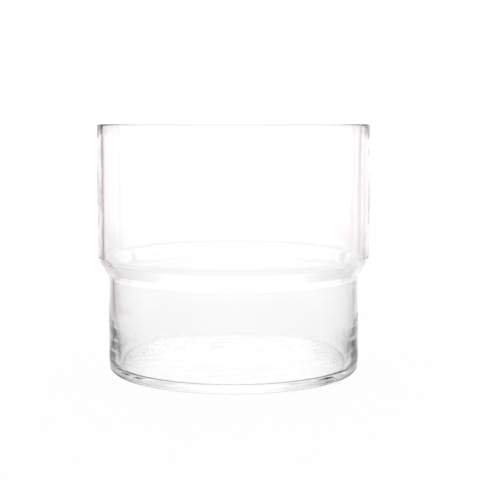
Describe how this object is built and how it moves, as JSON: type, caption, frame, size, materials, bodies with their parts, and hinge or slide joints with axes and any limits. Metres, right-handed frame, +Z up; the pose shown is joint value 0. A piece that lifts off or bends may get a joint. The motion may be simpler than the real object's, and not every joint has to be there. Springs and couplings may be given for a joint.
{
  "type": "stackable drinking glass",
  "caption": "Clear straight-sided glass tumbler with a stepped-in lower body, so that glasses nest and rest on each other's lips.",
  "frame": {"origin": "on the glass's axis, at the table that the bearing ring stands on", "axes": "+Z up along the axis, through the open mouth; X and Y are any two directions across it"},
  "size_m": [0.085, 0.085, 0.0774],
  "materials": {
    "clear_glass": "clear, smooth, fire-polished lip"
  },
  "bodies": {
    "root": {"tumbler": "clear_glass"}
  },
  "joints": []
}
